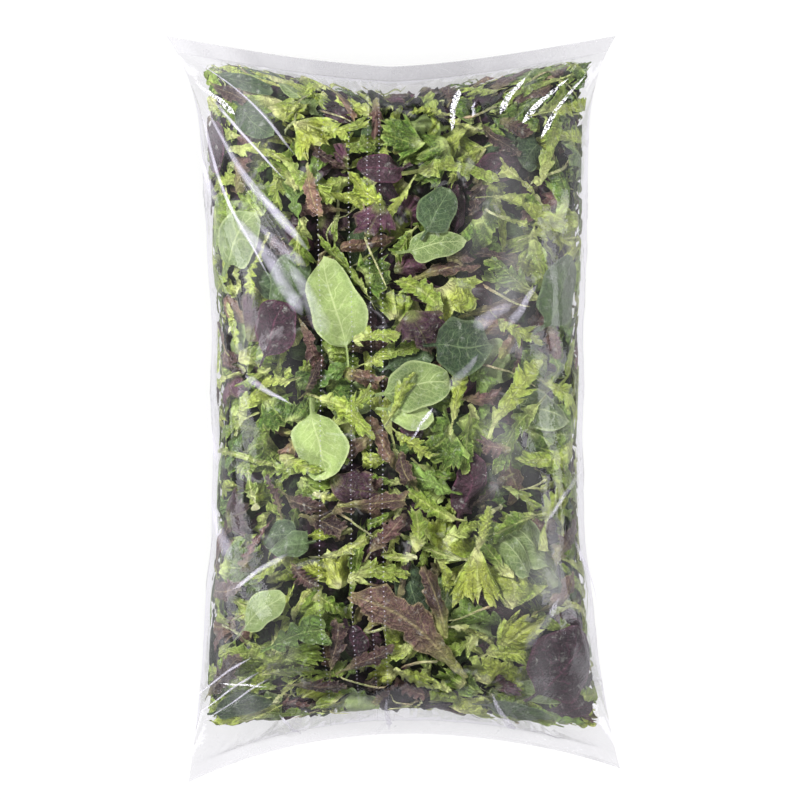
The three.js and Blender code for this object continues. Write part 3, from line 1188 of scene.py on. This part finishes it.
def blotch_group():
    """Uneven colour over a leaf, and from one leaf to the next."""
    group, nodes, given, put_out = new_group("leaf_blotches", {"Strength": 0.5}, ("Tone",))
    tone = nodes.add("Attribute", attribute_name="tone").outputs["Fac"]
    blotches = nodes.noise(nodes.place(), 62, 4, 0.5)
    uneven = nodes.math("MULTIPLY", nodes.math("SUBTRACT", blotches, 0.5), given["Strength"])
    nodes.feed(put_out["Tone"], nodes.math("ADD", tone, uneven))
    return group


def crumple_group():
    """Fine crumpling: 0 along the creases and 1 on the swellings between them, and spots of painted
    sheen.
    """
    group, nodes, given, put_out = new_group(
        "leaf_crumple", {"Crease Scale": 95.0}, ("Swell", "Grain", "Painted Sheen"))
    place = nodes.place()
    creases = nodes.noise(place, given["Crease Scale"], 3, 0.62, 0.7)
    off = nodes.math("ABSOLUTE", nodes.math("SUBTRACT", creases, 0.5))
    nodes.feed(put_out["Swell"], nodes.math("MINIMUM", nodes.math("MULTIPLY", off, 5), 1.0))
    nodes.feed(put_out["Grain"], nodes.noise(place, 420, 3))
    nodes.feed(put_out["Painted Sheen"], nodes.ramp(nodes.noise(place, 170, 5, 0.7, 0.4), 0.56, 0.70))
    return group


VEINS = vein_group()
BLOTCHES = blotch_group()
CRUMPLES = crumple_group()

# Painted shade: the colour that darkens each leaf along its fine creases
PAINTED_CREASE_SHADE = srgb(122, 112, 122)
BLOOM_COLOUR = srgb(150, 140, 140)
BLOOM = 0.04  # how much of the leaf that colour covers
# Painted sheen: the pale colour of spots that stand in for glints of light on the leaves
PAINTED_SHEEN_COLOUR = srgb(222, 226, 214)
CREASE_DEPTH = 0.0024  # metres
SMOOTHEST = 0.28  # roughness of a leaf, and how much it varies
ROUGHER = 0.20
LEAF_GLOSS = 0.6


def leaf_material(name, dark, light, vein, edge, blotch=0.5, veins=(9, 1.6, 0.07), base=None,
                  creases=100.0, crinkle=0.8, glow=0.2, painted_sheen=0.26):
    """A leaf: two colours by tone and blotch, paler veins, its own edge colour and fine creases, with
    painted shade along the creases and spots of painted sheen.

    veins holds how many side veins there are, how they slant and how wide the midrib is.
    """
    material, nodes = new_material(name)
    number, slant, rib_width = veins
    inputs = {"Side Veins": number, "Slant": slant, "Rib Width": rib_width}
    marks = nodes.add("Group", inputs, node_tree=VEINS).outputs
    tone = nodes.add("Group", {"Strength": blotch}, node_tree=BLOTCHES).outputs["Tone"]
    folds = nodes.add("Group", {"Crease Scale": creases}, node_tree=CRUMPLES).outputs
    colour = nodes.blend(nodes.ramp(tone, 0.0, 1.0), dark, light)
    if base is not None:
        colour = nodes.blend(nodes.ramp(marks["Along"], 0.45, 0.05), colour, base)
    for share, mark, over in ((0.5, "Edge", edge), (0.6, "Veins", vein), (0.4, "Rim", vein)):
        colour = nodes.blend(nodes.math("MULTIPLY", marks[mark], share), colour, over)
    # Painted shade: the colour is darkened along the fine creases, as much as crinkle says
    shade = nodes.math("MULTIPLY", nodes.ramp(folds["Swell"], 0.55, 0.0), 0.66 * crinkle)
    colour = nodes.blend(shade, colour, PAINTED_CREASE_SHADE, "MULTIPLY")
    colour = nodes.blend(BLOOM, colour, BLOOM_COLOUR)
    # Painted sheen: pale spots mixed into the colour in place of glints of light
    colour = nodes.blend(nodes.math("MULTIPLY", folds["Painted Sheen"], painted_sheen), colour, PAINTED_SHEEN_COLOUR)
    height = nodes.math("ADD", folds["Swell"], nodes.math("MULTIPLY", folds["Grain"], 0.25))
    height = nodes.math("SUBTRACT", height, nodes.math("MULTIPLY", marks["Veins"], 0.25))
    roughness = nodes.math("MULTIPLY", folds["Grain"], ROUGHER)
    shader = nodes.add("BsdfPrincipled", {
        "Base Color": colour,
        "Roughness": nodes.math("ADD", roughness, SMOOTHEST),
        "Normal": nodes.bump(height, crinkle, CREASE_DEPTH),
        "Specular IOR Level": LEAF_GLOSS,
    })
    through = nodes.add("BsdfTranslucent", {"Color": colour})
    nodes.finish(nodes.mixed(glow, shader.outputs[0], through.outputs[0]))
    return material


def core_material():
    """Leaf painted dark as deep shade: dark green and purple in patches, with painted shadow in the
    gaps.
    """
    material, nodes = new_material("shaded_leaf")
    place = nodes.place()
    patches = nodes.ramp(nodes.noise(place, 44, 3), 0.40, 0.60)
    colour = nodes.blend(patches, srgb(34, 46, 24), srgb(42, 28, 38))
    # Painted shadow: near-black blotches where the gaps between the deep leaves lie in shade
    painted_gap_shadow = nodes.ramp(nodes.noise(place, 95, 4, 0.6, 1.6), 0.56, 0.44)
    shader = nodes.add("BsdfPrincipled", {
        "Base Color": nodes.blend(painted_gap_shadow, colour, srgb(10, 10, 9)),
        "Roughness": 0.6,
        "Normal": nodes.bump(nodes.noise(place, 160, 4), 0.8, 0.003),
    })
    nodes.finish(shader.outputs[0])
    return material


FILM_TINT = (0.955, 0.952, 0.962, 1)  # of what is seen through one sheet
FILM_SHINE = srgb(246, 244, 252)
MOST_SHINE = 0.30  # the share of the light that the film reflects at a glancing angle
CRINKLE_DEPTH = 0.0008  # metres
SMEARS = 0.14  # how milky the thickest smears are


def film_material(name, milk_colour, dense_and_glint_colour, dense_and_glint_from):
    """Thin clear film: seen straight through, with a slight milkiness, painted reflection and glints,
    and sharp reflections.

    Where it is milkier than dense_and_glint_from, its milky colour turns to dense_and_glint_colour: a
    darker grey on the clear film, and white on the folded film, where it paints glints.
    """
    material, nodes = new_material(name)
    place = nodes.place()
    fine = nodes.math("MULTIPLY", nodes.noise(place, 260, 2), 0.15)
    height = nodes.math("ADD", nodes.noise(place, 75, 4, 0.55, 0.6), fine)
    normal = nodes.bump(height, 0.5, CRINKLE_DEPTH)
    fresnel = nodes.add("Fresnel", {"IOR": 1.5, "Normal": normal}).outputs[0]
    clear = nodes.add("BsdfTransparent", {"Color": FILM_TINT}).outputs[0]
    gloss = nodes.add("BsdfGlossy", {"Color": FILM_SHINE, "Roughness": 0.09, "Normal": normal})
    shine = nodes.mixed(nodes.math("MINIMUM", fresnel, MOST_SHINE), clear, gloss.outputs[0])
    milk_and_shine_here = nodes.add("Attribute", attribute_name="milk_and_painted_shine").outputs["Fac"]
    dense_and_glint = nodes.ramp(milk_and_shine_here, dense_and_glint_from, dense_and_glint_from + 0.3)
    milk_and_painted_shine = nodes.add("BsdfDiffuse", {"Color": nodes.blend(dense_and_glint, milk_colour, dense_and_glint_colour)})
    uneven = nodes.math("MULTIPLY", nodes.noise(place, 30, 4, 0.6, 1.0), 1.2)
    haze_and_shine = nodes.math("MULTIPLY", milk_and_shine_here, nodes.math("ADD", uneven, 0.4))
    smears = nodes.ramp(nodes.noise(place, 48, 5, 0.62, 0.8), 0.59, 0.70)
    haze_and_shine = nodes.math("ADD", haze_and_shine, nodes.math("MULTIPLY", smears, SMEARS))
    nodes.finish(nodes.mixed(haze_and_shine, shine, milk_and_painted_shine.outputs[0]))
    return material


# For each kind of leaf, the frame's slot and how leaf_material is told to finish it.
LEAF_FINISHES = {
    "spinach": ("green_leaf", dict(
        dark=srgb(72, 94, 48), light=srgb(142, 162, 96), vein=srgb(188, 200, 144),
        edge=srgb(92, 116, 62), blotch=0.7, veins=(8, 2.0, 0.06), creases=50.0, crinkle=0.28,
        painted_sheen=0.20)),
    "dark": ("green_leaf", dict(
        dark=srgb(38, 60, 38), light=srgb(76, 98, 58), vein=srgb(124, 144, 100),
        edge=srgb(42, 64, 38), blotch=0.7, veins=(8, 2.0, 0.05), creases=60.0, crinkle=0.5,
        painted_sheen=0.22)),
    "mizuna": ("lime_leaf", dict(
        dark=srgb(92, 122, 36), light=srgb(166, 181, 78), vein=srgb(204, 214, 134),
        edge=srgb(122, 160, 52), blotch=1.1, veins=(12, 2.4, 0.10), base=srgb(198, 206, 134))),
    "curly": ("lime_leaf", dict(
        dark=srgb(90, 124, 34), light=srgb(164, 181, 70), vein=srgb(194, 202, 124),
        edge=srgb(100, 138, 40), blotch=1.3, veins=(14, 1.4, 0.2), base=srgb(196, 200, 134))),
    "frisee": ("lime_leaf", dict(
        dark=srgb(114, 138, 50), light=srgb(180, 188, 98), vein=srgb(212, 216, 150),
        edge=srgb(112, 146, 52), blotch=1.1, veins=(12, 2.4, 0.3), base=srgb(214, 216, 170))),
    "stem": ("stem", dict(
        dark=srgb(140, 156, 92), light=srgb(196, 196, 140), vein=srgb(206, 204, 156),
        edge=srgb(150, 150, 100), blotch=1.3, veins=(0, 0, 0.1), base=srgb(176, 150, 120))),
    "lime": ("lime_leaf", dict(
        dark=srgb(102, 134, 30), light=srgb(178, 190, 76), vein=srgb(210, 218, 142),
        edge=srgb(150, 186, 60), blotch=1.1, veins=(7, 1.0, 0.08), base=srgb(214, 216, 150),
        glow=0.3)),
    "green": ("lime_leaf", dict(
        dark=srgb(60, 92, 28), light=srgb(122, 148, 52), vein=srgb(180, 198, 110),
        edge=srgb(96, 142, 44), blotch=1.1, veins=(7, 1.0, 0.08), base=srgb(180, 196, 120))),
    "romaine": ("red_leaf", dict(
        dark=srgb(66, 44, 50), light=srgb(130, 98, 86), vein=srgb(170, 160, 110),
        edge=srgb(72, 42, 50), blotch=1.1, veins=(10, 2.2, 0.16), base=srgb(166, 172, 96))),
    "oak": ("red_leaf", dict(
        dark=srgb(42, 26, 34), light=srgb(114, 80, 78), vein=srgb(156, 140, 112),
        edge=srgb(58, 34, 46), blotch=1.2, veins=(12, 1.8, 0.14), base=srgb(140, 140, 88))),
    "purple": ("red_leaf", dict(
        dark=srgb(48, 28, 42), light=srgb(98, 58, 80), vein=srgb(110, 108, 70),
        edge=srgb(74, 36, 62), blotch=1.1, veins=(7, 1.0, 0.06), base=srgb(112, 124, 64))),
    "rocket": ("green_leaf", dict(
        dark=srgb(74, 108, 44), light=srgb(122, 152, 68), vein=srgb(160, 180, 108),
        edge=srgb(72, 104, 40), blotch=1.3, veins=(9, 2.0, 0.10))),
    "chard": ("red_leaf", dict(
        dark=srgb(38, 26, 36), light=srgb(64, 46, 54), vein=srgb(110, 62, 84),
        edge=srgb(60, 40, 50), blotch=1.3, veins=(8, 2.0, 0.07))),
}


# ---------------------------------------------------------------- camera, floor and light

def add_camera():
    data = bpy.data.cameras.new("camera")
    data.sensor_width = 36
    data.lens = data.sensor_width * (CAMERA_HEIGHT - FOLD_HEIGHT * MM) / VIEW_WIDTH
    data.clip_end = 20
    camera = in_scene(bpy.data.objects.new("camera", data))
    camera.location = (*VIEW_MIDDLE, CAMERA_HEIGHT)
    bpy.context.scene.camera = camera


FLOOR_COLOUR = (0.43, 0.43, 0.432, 1)
FLOOR_GLOW = 0.80
FLOOR_GAP = 0.6  # millimetres below the bag


def add_floor():
    bm = bmesh.new()
    bmesh.ops.create_grid(bm, x_segments=1, y_segments=1, size=6)
    bmesh.ops.translate(bm, verts=bm.verts, vec=(0, 0, -FLOOR_GAP * MM))
    mesh = mesh_from(bm, "floor")
    material, nodes = new_material("pale_floor")
    shader = nodes.add("BsdfPrincipled", {
        "Base Color": FLOOR_COLOUR,
        "Roughness": 0.9,
        "Specular IOR Level": 0.0,
        "Emission Color": (1, 1, 1, 1),
        "Emission Strength": FLOOR_GLOW,
    })
    nodes.finish(shader.outputs[0])
    mesh.materials.append(material)
    floor = in_scene(bpy.data.objects.new("floor", mesh))
    return floor


def add_light(name, place, size, watts, seen_in_gloss=True, spared=None):
    """A softbox that looks at the bag and lights everything but the spared object."""
    data = bpy.data.lights.new(name, "AREA")
    data.shape = "RECTANGLE"
    data.size, data.size_y = size
    data.energy = watts
    light = in_scene(bpy.data.objects.new(name, data))
    light.location = place
    x, y, z = place
    light.rotation_euler = (math.atan2(math.hypot(x, y), z), 0, math.atan2(y, x) + math.pi / 2)
    light.visible_glossy = seen_in_gloss
    if spared is not None:
        unlit = bpy.data.collections.new(name + "_unlit")
        unlit.objects.link(spared)
        light.light_linking.receiver_collection = unlit
        unlit.collection_objects[0].light_linking.link_state = "EXCLUDE"


def add_room():
    """Pale walls and a dim ceiling, so the film is clear on top and milky at its sides."""
    world = bpy.data.worlds.new("room")
    bpy.context.scene.world = world
    world.use_nodes = True
    nodes = Nodes(world.node_tree)
    background = world.node_tree.nodes["Background"]
    direction = nodes.add("TexCoord").outputs["Generated"]
    height = nodes.add("SeparateXYZ", {0: direction}).outputs["Z"]
    walls = nodes.math("MULTIPLY", nodes.ramp(height, 0.92, 0.30), WALLS - CEILING)
    nodes.feed(background.inputs["Strength"], nodes.math("ADD", CEILING, walls))


def add_lights(floor):
    add_light("left_softbox", (-2.0, -0.2, 0.85), (2.4, 0.8), 22)
    add_light("right_softbox", (2.0, -0.1, 0.85), (2.4, 0.8), 24)
    add_light("key_light", (-1.5, 1.1, 2.4), (0.8, 0.8), 248, seen_in_gloss=False, spared=floor)
    add_light("fill_light", (1.6, -0.6, 2.2), (1.2, 1.2), 48, seen_in_gloss=False, spared=floor)
    add_light("top_softbox", (0.0, 0.01, 3.6), (3.0, 3.0), 54, seen_in_gloss=False)


# ---------------------------------------------------------------- the whole thing

add_camera()
add_room()
add_lights(add_floor())
bpy.context.scene.view_settings.view_transform = "Standard"

lay_front_leaves()
lay_heap()

for kind_name, kind in KINDS.items():
    leaf_slot, finish = LEAF_FINISHES[kind_name]
    add_piece(kind.mesh(), leaf_material(kind_name + "_leaf", **finish))

add_piece(heap_core(), core_material())

clear_film = film_material("clear_film", srgb(162, 161, 164), srgb(130, 129, 132), 0.22)
# The folded film's pale lavender is partly painted reflection, and its white is painted glints
folded_film = film_material("folded_film", srgb(196, 192, 208), srgb(255, 255, 255), 0.5)
add_piece(film_sheet("film_front", 0), clear_film)
add_piece(film_sheet("film_back", 1), clear_film)
add_piece(doubled_folds(), folded_film)
add_piece(vents(), folded_film)
